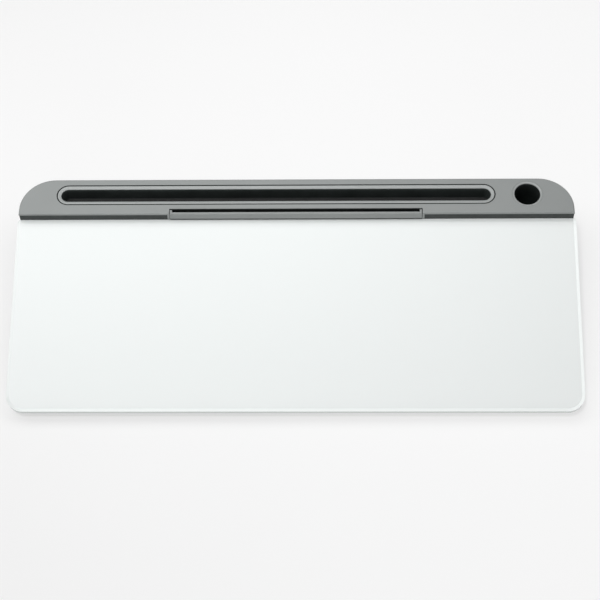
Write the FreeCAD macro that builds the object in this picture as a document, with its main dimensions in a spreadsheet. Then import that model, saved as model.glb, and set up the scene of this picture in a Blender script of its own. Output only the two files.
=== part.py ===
"""Desktop whiteboard: a sloped white glass panel on a hollow wedge base, with a raised rail behind it.

The rail holds a long phone slot, a pen hole and a note slot whose front lip pulls forwards.
Millimetres. +X is to the right, +Y to the rear, +Z up.
The origin is on the desk, under the middle of the part.
"""

import FreeCAD
import Part
import Sketcher
import math
import os

DRIVING_SIZES = {
    # Glass writing panel
    "glass_width": 420,
    "glass_reach": 151,
    "glass_tuck": 1.2,
    "glass_thickness": 4,
    "glass_tilt": 10,
    "front_height": 10.78,
    "glass_corner": 13,
    "glass_back_cut": 1.5,
    "glass_bevel_drop": 0.5,
    "glass_bevel": 2.2,
    "coating_thickness": 0.3,
    "coating_inset": 0.8,
    "tape_thickness": 1,
    "tape_width": 12,
    "tape_margin": 4,
    # Rail cover
    "deck_margin": 1.8,
    "deck_depth": 31.3,
    "deck_corner_share": 0.84,
    "deck_step": 8.7,
    "deck_plate": 3.2,
    "deck_skirt": 12,
    "deck_wall": 2.2,
    "deck_rounding": 1.2,
    "deck_boss": 4.4,
    "deck_boss_inset": 4.8,
    "deck_boss_front": 6.5,
    "deck_boss_side": 25.1,
    # Dark seal between rail and glass
    "seal_depth": 2.4,
    "seal_setback": 0.3,
    "rim_thickness": 2,
    "front_wall": 2.2,
    # Long phone slot
    "slot_left_inset": 30.9,
    "slot_right_inset": 61.7,
    "slot_front_land": 11.4,
    "slot_rear_land": 8.7,
    "slot_depth": 13.4,
    "trim_width": 2.5,
    "trim_drop": 0.7,
    "trim_rounding": 0.2,
    "trim_slope": 1.6,
    "trim_thickness": 1.4,
    "seam_gap": 0.9,
    "gasket_drop": 0.2,
    "flange_width": 1.5,
    "flange_thickness": 0.8,
    "liner_wall": 1,
    "mat_thickness": 1,
    "mat_gap": 0.2,
    # Pen cup
    "pen_rear_land": 4.6,
    "pen_inset": 34.5,
    "pen_depth": 35,
    "pen_trim_width": 1.4,
    "pen_trim_drop": 0.5,
    "pen_wall": 0.8,
    "pen_seam": 0.2,
    "pen_floor": 2.2,
    "pen_mat_inset": 1.2,
    # Pull-out lip of the note slot
    "lip_share": 0.454,
    "lip_thickness": 1.8,
    "lip_rounding": 0.6,
    "lip_ahead": 0.4,
    "note_gap": 2.9,
    "note_depth": 6.5,
    "lip_floor": 1.4,
    "lip_web": 1.8,
    "lip_web_drop": 22,
    "lip_web_room": 0.8,
    "lip_cheek": 1.8,
    "wiper_height": 1.4,
    "wiper_depth": 0.8,
    "wiper_inset": 0.2,
    "note_strip": 0.6,
    "note_strip_drop": 0.3,
    "lip_end_gap": 0.4,
    "notch_wall": 1.5,
    # Sliders, guides and brake pads of the lip
    "slider_share": 0.74,
    "slider_lift": 1,
    "slider_width": 12,
    "slider_thickness": 3,
    "slider_head_width": 17,
    "slider_head_length": 2.3,
    "guide_wall": 2.2,
    "guide_length": 7,
    "guide_ear": 7,
    "guide_ear_thickness": 2,
    "brake_length": 5,
    "brake_width": 8,
    "brake_thickness": 1.4,
    "brake_proud": 0.1,
    "slider_screw_pitch": 7,
    "slider_rear_room": 3.1,
    # Base shell
    "base_inset": 6,
    "base_corner": 6,
    "base_rounding": 1,
    "base_wall": 2.4,
    "shelf_drop": 25,
    "shelf_thickness": 2,
    "boss_diameter": 7,
    "guide_boss_height": 4,
    "cover_thickness": 2,
    "cover_gap": 0.2,
    "cover_screw_side_inset": 54,
    "cover_screw_front_inset": 44,
    "cover_screw_rear_inset": 7.3,
    # Feet
    "foot_height": 2,
    "foot_diameter": 12,
    "foot_taper": 0.5,
    "foot_side_inset": 24,
    "foot_front_inset": 14,
    "foot_rear_inset": 26,
    # Fasteners
    "screw_diameter": 2.6,
    "screw_head": 5.2,
    "screw_head_height": 1.4,
    "screw_length": 8,
    "screw_recess": 2.4,
    "small_screw_diameter": 1.8,
    "small_screw_head": 3.4,
    "small_screw_head_height": 1,
    "small_screw_length": 6,
    "small_screw_recess": 1.5,
    "recess_width": 0.6,
    "recess_depth": 0.7,
    # Clearances
    "run_gap": 0.3,
    "slide_gap": 0.4,
    "fit_gap": 0.1,
    "overrun": 5,
}

# Sizes that follow from the rail's depth and the room kept round each piece in it
FOLLOWING_SIZES = {
    "slot_width": "=deck_depth - slot_front_land - slot_rear_land",
    "slot_line": "=slot_front_land + slot_width / 2",
    "pen_diameter": "=2 * (deck_depth - slot_line - pen_rear_land)",
    "lip_front_room": "=slot_front_land - liner_wall - lip_web_room - lip_web - 2 * run_gap - glass_tuck",
    "slide_length": "=lip_web + guide_length + slider_head_length + 5 * run_gap",
    "lip_rear_room": "=(deck_depth - base_wall - slider_rear_room - glass_tuck - slide_length) / 2",
    "lip_travel": "=min(lip_front_room; lip_rear_room)",
}

# Places along the width, as shares of the reach that each row has
COVER_SCREW_SHARES = (-1, -0.35, 0.35, 1)
DECK_REAR_SCREW_SHARES = (-1, -0.3, 0.3, 0.93)
SIDE_SHARES = {"left": -1, "right": 1}
FOOT_SHARES = {"left": -1, "middle": 0, "right": 1}

# Places worked out from the driving sizes, as expressions on the sheet
REACH = "(dims.glass_reach * cos(dims.glass_tilt))"
DEPTH = f"({REACH} + dims.deck_depth)"
FRONT = f"(-{DEPTH} / 2)"
REAR = f"({DEPTH} / 2)"
RAIL_FRONT = f"({REAR} - dims.deck_depth)"
GLASS_BACK = f"({RAIL_FRONT} + dims.glass_tuck)"
DECK_CORNER = "(dims.deck_depth * dims.deck_corner_share)"
DECK_TOP = "(dims.front_height + dims.glass_reach * sin(dims.glass_tilt) + dims.deck_step)"
PANEL_STACK = "(dims.glass_thickness + dims.coating_thickness + dims.tape_thickness)"
DECK_HALF = "(dims.glass_width / 2 - dims.deck_margin)"
BASE_HALF = "(dims.glass_width / 2 - dims.base_inset)"
BASE_FRONT = f"({FRONT} + dims.base_inset)"
SHELL_BOTTOM = "dims.foot_height"
SHELL_TOP = f"({DECK_TOP} - dims.deck_skirt)"
SHELF_TOP = f"({DECK_TOP} - dims.shelf_drop)"
SHELF_BOTTOM = f"({SHELF_TOP} - dims.shelf_thickness)"
BLOCK_FRONT = f"({GLASS_BACK} + dims.run_gap)"
SLOT_LINE = f"({RAIL_FRONT} + dims.slot_line)"
SLOT_LENGTH = f"(2 * {DECK_HALF} - dims.slot_left_inset - dims.slot_right_inset)"
SLOT_SHIFT = "((dims.slot_left_inset - dims.slot_right_inset) / 2)"
PEN_PLACE = f"({DECK_HALF} - dims.pen_inset)"
TRIM_BOTTOM = f"({DECK_TOP} - dims.trim_thickness)"
LEDGE_TOP = f"({TRIM_BOTTOM} - dims.flange_thickness)"
LINER_WIDTH = "(dims.slot_width + 2 * dims.liner_wall)"
LINER_LENGTH = f"({SLOT_LENGTH} + 2 * dims.liner_wall)"
LINER_BOTTOM = f"({DECK_TOP} - dims.slot_depth - dims.liner_wall)"
LIP_FRONT = f"({RAIL_FRONT} - dims.lip_ahead)"
NOTCH_DEPTH = "(dims.lip_thickness + dims.note_gap - dims.lip_ahead)"
LIP_HALF = f"(dims.lip_share * {DECK_HALF})"
NOTCH_HALF = f"({LIP_HALF} + dims.lip_end_gap)"
LIP_FLOOR_TOP = f"({DECK_TOP} - dims.note_depth)"
LIP_FLOOR_BOTTOM = f"({LIP_FLOOR_TOP} - dims.lip_floor)"
LIP_WEB_FRONT = f"({GLASS_BACK} + dims.lip_travel + 2 * dims.run_gap)"
LIP_WEB_REAR = f"({LIP_WEB_FRONT} + dims.lip_web)"
LIP_WEB_BOTTOM = f"({DECK_TOP} - dims.lip_web_drop)"
SLIDER_BOTTOM = f"({LIP_WEB_BOTTOM} + dims.slider_lift)"
SLIDER_TOP = f"({SLIDER_BOTTOM} + dims.slider_thickness)"
GUIDE_FRONT = f"({LIP_WEB_REAR} + 2 * dims.run_gap)"
GUIDE_REAR = f"({GUIDE_FRONT} + dims.guide_length)"
SLIDER_HEAD_FRONT = f"({GUIDE_REAR} + dims.lip_travel + dims.run_gap)"
SLIDER_REAR = f"({SLIDER_HEAD_FRONT} + dims.slider_head_length)"
GUIDE_INNER_WIDTH = "(dims.slider_width + 2 * dims.slide_gap)"
GUIDE_OUTER_WIDTH = f"({GUIDE_INNER_WIDTH} + 2 * dims.guide_wall)"
GUIDE_MIDDLE = f"(({GUIDE_FRONT} + {GUIDE_REAR}) / 2)"
DECK_SCREW_REAR = f"({REAR} - dims.deck_boss_inset)"
DECK_SCREW_FRONT = f"({RAIL_FRONT} + dims.deck_boss_front)"
COVER_SCREW_REAR = f"({REAR} - dims.cover_screw_rear_inset)"
COVER_SCREW_FRONT = f"({BASE_FRONT} + dims.cover_screw_front_inset)"
COVER_SCREW_REACH = f"({BASE_HALF} - dims.cover_screw_side_inset)"
DECK_SCREW_REACH = f"({NOTCH_HALF} + dims.deck_boss_side)"
SLIDER_REACH = f"(dims.slider_share * {LIP_HALF})"
FOOT_REACH = f"({BASE_HALF} - dims.foot_side_inset)"


def glass_level(place):
    """Height of the glass's top face at a place along Y."""
    return f"({DECK_TOP} - dims.deck_step - ({RAIL_FRONT} - ({place})) * tan(dims.glass_tilt))"


def plate_level(place):
    """Height of the base's sloped top plate at a place along Y."""
    return f"({glass_level(place)} - {PANEL_STACK} / cos(dims.glass_tilt))"


def plate_under(place):
    """Height of the underside of the base's sloped top plate."""
    return f"({plate_level(place)} - dims.base_wall / cos(dims.glass_tilt))"


COVER_TOP = f"({SHELL_BOTTOM} + dims.cover_thickness)"
COVER_ROOM = f"({plate_under(RAIL_FRONT)} - {COVER_TOP} - dims.cover_gap)"
HOLLOW_FRONT = f"max({BASE_FRONT} + 1.5 * dims.base_wall; {RAIL_FRONT} - {COVER_ROOM} / tan(dims.glass_tilt))"

doc = FreeCAD.newDocument("desktop_whiteboard")
dims = doc.addObject("Spreadsheet::Sheet", "dims")
nodes = []


def fill_sheet():
    sizes = {**DRIVING_SIZES, **FOLLOWING_SIZES}
    for row, (alias, size) in enumerate(sizes.items(), start=1):
        dims.set(f"A{row}", alias)
        dims.set(f"B{row}", str(size))
        dims.setAlias(f"B{row}", alias)
    doc.recompute()


def number(expression):
    """The value of an expression on the sheet, as a plain number."""
    value = dims.evalExpression(str(expression))
    return float(getattr(value, "Value", value))


def vector(u, v):
    return FreeCAD.Vector(number(u), number(v), 0)


def bind(thing, **expressions):
    """Binds properties of an object to expressions; a double underscore stands for a dot."""
    for path, expression in expressions.items():
        thing.setExpression(path.replace("__", "."), str(expression))
    return thing


def place(thing, x="0", y="0", z="0"):
    return bind(thing, Placement__Base__x=x, Placement__Base__y=y, Placement__Base__z=z)


def turn_about_x(thing, angle):
    turn = FreeCAD.Rotation(FreeCAD.Vector(1, 0, 0), number(angle))
    thing.Placement = FreeCAD.Placement(FreeCAD.Vector(), turn)
    return bind(thing, Placement__Rotation__Angle=angle)


def place_on_glass(thing, across="0", along="0", above="0"):
    """Places an object in the glass's own frame: along its slope from the front edge, above its top face."""
    turn_about_x(thing, "dims.glass_tilt")
    return place(
        thing,
        across,
        f"{FRONT} + ({along}) * cos(dims.glass_tilt) - ({above}) * sin(dims.glass_tilt)",
        f"dims.front_height + ({along}) * sin(dims.glass_tilt) + ({above}) * cos(dims.glass_tilt)",
    )


def node(thing, label):
    """Marks an object as a piece of the part, under its own name."""
    thing.Label = label
    nodes.append(thing)
    return thing


# Sketches, pads and pockets


def new_body(name):
    return doc.addObject("PartDesign::Body", name)


def new_sketch(body, name, role, level):
    sketch = body.newObject("Sketcher::SketchObject", name)
    plane = next(f for f in body.Origin.OriginFeatures if f.Role == role)
    sketch.AttachmentSupport = (plane, [""])
    sketch.MapMode = "FlatFace"
    return bind(sketch, AttachmentOffset__Base__z=level)


def fix_point(sketch, geometry, end, u, v):
    """Holds a point of the sketch at two expressions, measured from the sketch's origin."""
    for kind, expression in (("DistanceX", u), ("DistanceY", v)):
        index = sketch.addConstraint(
            Sketcher.Constraint(kind, -1, 1, geometry, end, number(expression))
        )
        sketch.setExpression(f"Constraints[{index}]", str(expression))


def corner_cuts(points, i, corner):
    """Where the two sides at a corner end: at the corner, or where its rounding begins."""
    if len(corner) == 2:
        return points[i], points[i]
    back = (points[i - 1] - points[i]).normalize()
    ahead = (points[(i + 1) % len(points)] - points[i]).normalize()
    setback = number(corner[2]) * (1 + back.dot(ahead)) / back.cross(ahead).Length
    return points[i] + back * setback, points[i] + ahead * setback


def hold_radius(sketch, curve, radius):
    index = sketch.addConstraint(Sketcher.Constraint("Radius", curve, number(radius)))
    sketch.setExpression(f"Constraints[{index}]", str(radius))


def arc_about(centre, start, end):
    """An anticlockwise arc about a centre, from one point to another."""
    circle = Part.Circle(centre, FreeCAD.Vector(0, 0, 1), (start - centre).Length)
    first = math.atan2(start.y - centre.y, start.x - centre.x)
    last = math.atan2(end.y - centre.y, end.x - centre.x)
    return Part.ArcOfCircle(circle, first, last)


def round_corner(sketch, before, after, corner, cut):
    """A tangent arc between two sides, held by its radius and by the sharp corner that it replaces."""
    u, v, radius = corner
    sharp = vector(u, v)
    middle = (cut[0] + cut[1]) * 0.5 - sharp
    centre = sharp + middle * ((cut[0] - sharp).Length / middle.Length) ** 2
    arc = sketch.addGeometry(arc_about(centre, *cut), False)
    point = sketch.addGeometry(Part.Point(sharp), True)
    sketch.addConstraint(
        [
            Sketcher.Constraint("Tangent", before, 2, arc, 1),
            Sketcher.Constraint("Tangent", arc, 2, after, 1),
            Sketcher.Constraint("PointOnObject", point, 1, before),
            Sketcher.Constraint("PointOnObject", point, 1, after),
        ]
    )
    fix_point(sketch, point, 1, u, v)
    hold_radius(sketch, arc, radius)


def outline(body, name, corners, role="XY_Plane", level="0"):
    """A closed sketch through corners (u, v), anticlockwise; a third value is the corner's radius."""
    sketch = new_sketch(body, name, role, level)
    count = len(corners)
    points = [vector(corner[0], corner[1]) for corner in corners]
    cuts = [corner_cuts(points, i, corner) for i, corner in enumerate(corners)]
    lines = []
    for i in range(count):
        segment = Part.LineSegment(cuts[i][1], cuts[(i + 1) % count][0])
        lines.append(sketch.addGeometry(segment, False))
    for i, corner in enumerate(corners):
        if len(corner) == 2:
            sketch.addConstraint(Sketcher.Constraint("Coincident", lines[i - 1], 2, lines[i], 1))
            fix_point(sketch, lines[i], 1, *corner)
        else:
            round_corner(sketch, lines[i - 1], lines[i], corner, cuts[i])
    return sketch


def rectangle(body, name, left, right, near, far, level):
    corners = [(left, near), (right, near), (right, far), (left, far)]
    return outline(body, name, corners, level=level)


def circles(body, name, places, radius, level):
    """A sketch of equal circles."""
    sketch = new_sketch(body, name, "XY_Plane", level)
    for x, y in places:
        shape = Part.Circle(vector(x, y), FreeCAD.Vector(0, 0, 1), number(radius))
        circle = sketch.addGeometry(shape, False)
        fix_point(sketch, circle, 3, x, y)
        hold_radius(sketch, circle, radius)
    return sketch


def stadium(body, name, length, width, level):
    """A round-ended sketch on the phone slot's centre line."""
    sketch = new_sketch(body, name, "XY_Plane", level)
    ends = [f"{SLOT_SHIFT} {sign} ({length} - {width}) / 2" for sign in "-+"]
    left, right = (vector(end, SLOT_LINE) for end in ends)
    side = FreeCAD.Vector(0, number(width) / 2, 0)
    curves = [
        Part.LineSegment(right + side, left + side),
        arc_about(left, left + side, left - side),
        Part.LineSegment(left - side, right - side),
        arc_about(right, right - side, right + side),
    ]
    far, left_arc, near, right_arc = (sketch.addGeometry(curve, False) for curve in curves)
    loop = (far, left_arc, near, right_arc, far)
    for curve, following in zip(loop, loop[1:]):
        sketch.addConstraint(Sketcher.Constraint("Tangent", curve, 2, following, 1))
    sketch.addConstraint(Sketcher.Constraint("Equal", left_arc, right_arc))
    fix_point(sketch, left_arc, 3, ends[0], SLOT_LINE)
    fix_point(sketch, right_arc, 3, ends[1], SLOT_LINE)
    hold_radius(sketch, left_arc, f"{width} / 2")
    return sketch


def pad(body, name, sketch, length, down=False, midplane=False):
    feature = body.newObject("PartDesign::Pad", name)
    feature.Profile = sketch
    feature.Reversed = down
    feature.Midplane = midplane
    return bind(feature, Length=length)


def pocket(body, name, sketch, depth, up=False, midplane=False):
    feature = body.newObject("PartDesign::Pocket", name)
    feature.Profile = sketch
    feature.Reversed = up
    feature.Midplane = midplane
    return bind(feature, Length=depth)


def edges_where(feature, test):
    """Names of the edges of a feature whose every vertex passes a test."""
    doc.recompute()
    names = []
    for i, edge in enumerate(feature.Shape.Edges, start=1):
        if all(test(vertex.Point) for vertex in edge.Vertexes):
            names.append(f"Edge{i}")
    return names


def near(value, expression):
    return math.isclose(value, number(expression), abs_tol=1e-4)


def dress(body, kind, name, feature, test, **expressions):
    """A fillet or chamfer on the edges of a feature that pass a test."""
    dressing = body.newObject(f"PartDesign::{kind}", name)
    dressing.Base = (feature, edges_where(feature, test))
    return bind(dressing, **expressions)


# Plain solids and booleans


def box(name, x, y, z, length, width, height):
    solid = doc.addObject("Part::Box", name)
    return place(bind(solid, Length=length, Width=width, Height=height), x, y, z)


def cylinder(name, x, y, z, radius, height):
    solid = doc.addObject("Part::Cylinder", name)
    return place(bind(solid, Radius=radius, Height=height), x, y, z)


def cone(name, x, y, z, first, last, height):
    solid = doc.addObject("Part::Cone", name)
    return place(bind(solid, Radius1=first, Radius2=last, Height=height), x, y, z)


def fuse(name, solids):
    joined = doc.addObject("Part::MultiFuse", name)
    joined.Shapes = solids
    return joined


def cut(name, base, tool):
    result = doc.addObject("Part::Cut", name)
    result.Base = base
    result.Tool = tool
    return result


def group(name, solids):
    compound = doc.addObject("Part::Compound", name)
    compound.Links = solids
    return compound


def aim(thing, x, y, z, turn):
    """Places a fastener or its hole, turned about X from pointing up."""
    return place(turn_about_x(thing, turn), x, y, z)


TURNS = {"up": "0", "down": "180", "rear": "-90"}


def screw(name, kind, x, y, z, turn):
    """A flat-headed screw with a cross recess, from the middle of its head's face."""
    size = f"dims.{kind}"
    thin = f"{size}_diameter / 2"
    head = cone(f"{name}_head", "0", "0", "0", f"{size}_head / 2", thin, f"{size}_head_height")
    shank = cylinder(f"{name}_shank", "0", "0", "0", thin, f"{size}_length")
    long = f"{size}_recess"
    wide = "dims.recess_width"
    deep = "dims.recess_depth"
    slots = [
        box(f"{name}_slot", f"-{long} / 2", f"-{wide} / 2", "0", long, wide, deep),
        box(f"{name}_cross", f"-{wide} / 2", f"-{long} / 2", "0", wide, long, deep),
    ]
    whole = cut(name, fuse(f"{name}_solid", [head, shank]), fuse(f"{name}_recess", slots))
    return aim(whole, x, y, z, turn)


def screw_hole(name, kind, x, y, z, turn):
    """The countersunk hole of a flat-headed screw."""
    size = f"dims.{kind}"
    shank = f"{size}_diameter / 2 + dims.fit_gap / 2"
    rim = f"{size}_head / 2 + dims.fit_gap"
    sink = cone(f"{name}_sink", "0", "0", "0", rim, shank, f"{size}_head_height")
    bore = cylinder(f"{name}_bore", "0", "0", "0", shank, f"{size}_length + dims.fit_gap")
    return aim(fuse(name, [sink, bore]), x, y, z, turn)


def screw_row(name, kind, places, turn):
    """A set of equal screws as one piece, and the tool that makes their holes."""
    screws = []
    holes = []
    for i, spot in enumerate(places, start=1):
        screws.append(screw(f"{name}_{i}", kind, *spot, TURNS[turn]))
        holes.append(screw_hole(f"{name}_hole_{i}", kind, *spot, TURNS[turn]))
    node(group(f"{name}s_set", screws), f"{name}s")
    return fuse(f"{name}_holes", holes)


def side_span(share, inner, outer):
    """Left and right ends of a span on one side of the middle."""
    if share < 0:
        return f"-({outer})", f"-({inner})"
    return inner, outer


# Pieces of the part


def build_glass():
    """White-backed glass panel and the foam tape that holds it on the base."""
    half = "dims.glass_width / 2"
    lean = "dims.glass_thickness * sin(dims.glass_tilt)"
    back = f"(dims.glass_reach + (dims.glass_tuck - {lean}) / cos(dims.glass_tilt))"
    body = place_on_glass(node(new_body("glass_panel_body"), "glass_panel"))
    corners = [
        (f"-{half}", "0", "dims.glass_corner"),
        (half, "0", "dims.glass_corner"),
        (half, f"{back} - dims.glass_back_cut"),
        (f"{half} - dims.glass_back_cut", back),
        (f"-({half} - dims.glass_back_cut)", back),
        (f"-{half}", f"{back} - dims.glass_back_cut"),
    ]
    sketch = outline(body, "glass_outline", corners)
    sheet = pad(body, "glass_sheet", sketch, "dims.glass_thickness", down=True)
    polished = number(f"{back} - dims.glass_back_cut / 2")
    bevel = dress(
        body, "Chamfer", "glass_polish", sheet, lambda point: near(point.z, "0") and point.y < polished
    )
    bevel.ChamferType = "Two distances"
    bind(bevel, Size="dims.glass_bevel_drop", Size2="dims.glass_bevel")

    coating = node(new_body("glass_backing_body"), "glass_backing")
    place_on_glass(coating, above="-dims.glass_thickness")
    inset = "dims.coating_inset"
    corners = [
        (f"-({half} - {inset})", inset, f"dims.glass_corner - {inset}"),
        (f"{half} - {inset}", inset, f"dims.glass_corner - {inset}"),
        (f"{half} - {inset}", f"{back} - {inset}"),
        (f"-({half} - {inset})", f"{back} - {inset}"),
    ]
    sketch = outline(coating, "backing_outline", corners)
    pad(coating, "backing_sheet", sketch, "dims.coating_thickness", down=True)

    edge = "(dims.base_inset + dims.tape_margin)"
    outer = f"({half} - {edge})"
    rear = "(dims.glass_reach - dims.tape_margin)"
    between = "(dims.tape_width + dims.tape_margin / 2)"
    level = f"-{PANEL_STACK}"
    across = {"front": edge, "rear": f"{rear} - dims.tape_width"}
    for name, along in across.items():
        tape = box(f"tape_{name}", "0", "0", "0", f"2 * {outer}", "dims.tape_width", "dims.tape_thickness")
        node(place_on_glass(tape, f"-{outer}", along, level), f"foam_tape_{name}")
    for side, share in SIDE_SHARES.items():
        left, _ = side_span(share, f"{outer} - dims.tape_width", outer)
        length = f"{rear} - {edge} - 2 * {between}"
        tape = box(f"tape_{side}", "0", "0", "0", "dims.tape_width", length, "dims.tape_thickness")
        node(place_on_glass(tape, left, f"{edge} + {between}", level), f"foam_tape_{side}")


def stepped_outline(body, name, inset, front, level, round_front=None):
    """The base's plan outline, drawn in by an inset: narrow under the glass, wide under the rail."""
    narrow = f"({BASE_HALF} - {inset})"
    wide = f"({DECK_HALF} - {inset})"
    step = f"{BLOCK_FRONT} + {inset}"
    rear = f"{REAR} - {inset}"
    corner = f"{DECK_CORNER} - {inset}"
    nose = (round_front,) if round_front else ()
    corners = [
        (f"-{narrow}", front, *nose),
        (narrow, front, *nose),
        (narrow, step),
        (wide, step),
        (wide, rear, corner),
        (f"-{wide}", rear, corner),
        (f"-{wide}", step),
        (f"-{narrow}", step),
    ]
    return outline(body, name, corners, level=level)


def build_base_shell():
    """Hollow wedge with a sloped top plate, and behind it an open trough on a shelf."""
    body = new_body("base_shell_body")
    wall = "dims.base_wall"
    plan = stepped_outline(body, "shell_plan", "0", BASE_FRONT, SHELL_BOTTOM, "dims.base_corner")
    block = pad(body, "shell_block", plan, f"{SHELL_TOP} - {SHELL_BOTTOM}")
    dress(body, "Fillet", "shell_rounding", block, on_shell_bottom, Radius="dims.base_rounding")

    ahead = f"{FRONT} - dims.overrun"
    slope = [
        (ahead, plate_level(ahead)),
        (GLASS_BACK, plate_level(GLASS_BACK)),
        (GLASS_BACK, DECK_TOP),
        (ahead, DECK_TOP),
    ]
    sketch = outline(body, "slope_profile", slope, role="YZ_Plane")
    pocket(body, "shell_slope", sketch, "dims.glass_width", midplane=True)

    sketch = stepped_outline(body, "trough_plan", wall, GLASS_BACK, SHELL_TOP)
    pocket(body, "shell_trough", sketch, f"{SHELL_TOP} - {SHELF_TOP}")
    sketch = stepped_outline(body, "cellar_plan", wall, GLASS_BACK, SHELL_BOTTOM)
    pocket(body, "shell_cellar", sketch, f"{SHELF_BOTTOM} - {SHELL_BOTTOM}", up=True)

    inside = HOLLOW_FRONT
    upright = f"{GLASS_BACK} - {wall}"
    hollow = [
        (inside, "0"),
        (f"{BLOCK_FRONT} + {wall}", "0"),
        (f"{BLOCK_FRONT} + {wall}", SHELF_BOTTOM),
        (upright, SHELF_BOTTOM),
        (upright, plate_under(upright)),
        (inside, plate_under(inside)),
    ]
    sketch = outline(body, "hollow_profile", hollow, role="YZ_Plane")
    pocket(body, "shell_hollow", sketch, f"2 * ({BASE_HALF} - {wall})", midplane=True)

    boss = "dims.boss_diameter / 2"
    front_tops = f"{plate_under(COVER_SCREW_FRONT)} + {wall} / 2 - {COVER_TOP}"
    rear_tops = f"{SHELF_BOTTOM} + dims.shelf_thickness / 2 - {COVER_TOP}"
    rows = {"front": (COVER_SCREWS_FRONT, front_tops), "rear": (COVER_SCREWS_REAR, rear_tops)}
    for name, (row, height) in rows.items():
        places = [spot[:2] for spot in row]
        pad(body, f"shell_bosses_{name}", circles(body, f"bosses_{name}", places, boss, COVER_TOP), height)
    places = [spot[:2] for spot in GUIDE_SCREWS]
    sketch = circles(body, "guide_bosses", places, boss, f"{SHELF_BOTTOM} + dims.shelf_thickness / 2")
    pad(body, "shell_guide_bosses", sketch, "dims.guide_boss_height + dims.shelf_thickness / 2", down=True)

    opening = "dims.pen_diameter / 2 + dims.pen_wall + dims.run_gap"
    sketch = circles(body, "cup_opening", [(PEN_PLACE, SLOT_LINE)], opening, SHELF_TOP)
    pocket(body, "shell_cup_opening", sketch, "dims.shelf_thickness")
    return body


def on_shell_bottom(point):
    return near(point.z, SHELL_BOTTOM)


def build_bottom_cover():
    """Flat cover that closes the base from below, on six rubber feet."""
    body = new_body("bottom_cover_body")
    inset = "(dims.base_wall + dims.cover_gap)"
    front = f"{HOLLOW_FRONT} + dims.cover_gap"
    sketch = stepped_outline(body, "cover_plan", inset, front, SHELL_BOTTOM)
    pad(body, "cover_sheet", sketch, "dims.cover_thickness")
    bottom = "dims.foot_diameter / 2 - dims.foot_taper"
    top = "dims.foot_diameter / 2"
    rows = {"front": f"{BASE_FRONT} + dims.foot_front_inset", "rear": f"{REAR} - dims.foot_rear_inset"}
    for row, line in rows.items():
        for side, share in FOOT_SHARES.items():
            spot = (f"{share} * {FOOT_REACH}", line, "0")
            foot = cone(f"foot_{row}_{side}_cone", *spot, bottom, top, "dims.foot_height")
            node(foot, f"foot_{row}_{side}")
    return body


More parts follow.
